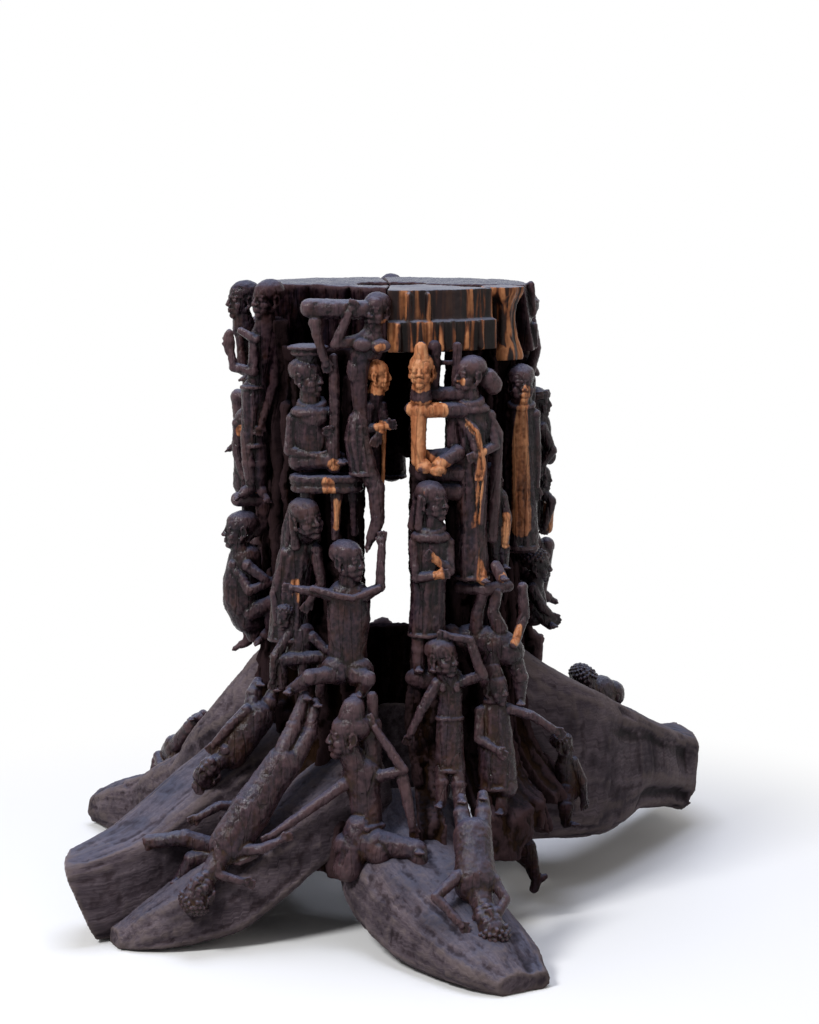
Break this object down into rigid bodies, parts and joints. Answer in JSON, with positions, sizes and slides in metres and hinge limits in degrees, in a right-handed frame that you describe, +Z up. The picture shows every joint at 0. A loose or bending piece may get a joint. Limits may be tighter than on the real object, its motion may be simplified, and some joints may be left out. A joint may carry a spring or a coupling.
{
  "type": "root dining table base",
  "caption": "Table base carved from a hollow, pierced ebony stump on its own spreading roots, with a flat sawn top and tiers of small carved figures all round.",
  "frame": {"origin": "on the floor, below the centre of the bounding box, which is on the trunk's axis to a few millimetres", "axes": "+Z up, normal to the sawn top; -Y faces the viewer of the picture; +X to the viewer's right"},
  "size_m": [0.8193, 0.8186, 0.74],
  "materials": {
    "ebony": "hand-carved, worn and lightly waxed",
    "dusty_ebony": "dry, weathered grain with sawn ends",
    "sapwood": "hand-carved, streaked sapwood"
  },
  "bodies": {
    "root": {"root_front": "dusty_ebony", "root_left_low": "dusty_ebony", "root_left_sawn": "dusty_ebony", "root_right_sawn": "dusty_ebony", "root_rear_left": "dusty_ebony", "root_back": "dusty_ebony", "top_drum_front": "sapwood", "top_plate_left": "ebony", "top_plate_right": "ebony", "top_plate_back": "ebony", "top_post_right": "sapwood", "wall_front_left": "ebony", "wall_front_strip": "ebony", "wall_front_right": "ebony", "wall_right": "ebony", "wall_back_right": "ebony", "wall_back_upper": "ebony", "wall_back_lower": "ebony", "wall_back_left": "ebony", "wall_left": "ebony", "stool": "ebony", "pounder": "ebony", "log_bearer": "ebony", "elder_in_profile": "sapwood", "leaning_matron": "ebony", "listener": "ebony", "skirted_mother": "ebony", "climber": "sapwood", "robed_elder": "sapwood", "right_edge_nurse": "ebony", "right_edge_drummer": "ebony", "left_sitter": "ebony", "left_croucher": "ebony", "veiled_woman": "ebony", "blessing_man": "ebony", "shore_child": "ebony", "market_woman": "ebony", "skirt_child": "ebony", "right_edge_watcher": "ebony", "carrier_on_knees": "ebony", "master_carver": "ebony", "dancer_hand_on_head": "ebony", "capped_merchant": "ebony", "right_flank_child": "ebony", "sleeper_left_low": "ebony", "sleeper_left_sawn": "ebony", "relief_left_sawn": "ebony", "sleeper_front": "ebony", "sleeper_rear_left": "ebony", "rider_right_sawn": "ebony", "hanging_hand": "ebony", "water_bearer_right": "ebony", "drummer_back_right": "ebony", "water_bearer_back": "ebony", "water_bearer_left": "ebony", "nurse_rear_left": "ebony", "croucher_right": "ebony", "bearer_back_right": "ebony", "drummer_back_left": "ebony", "croucher_rear_left": "ebony"}
  },
  "joints": []
}
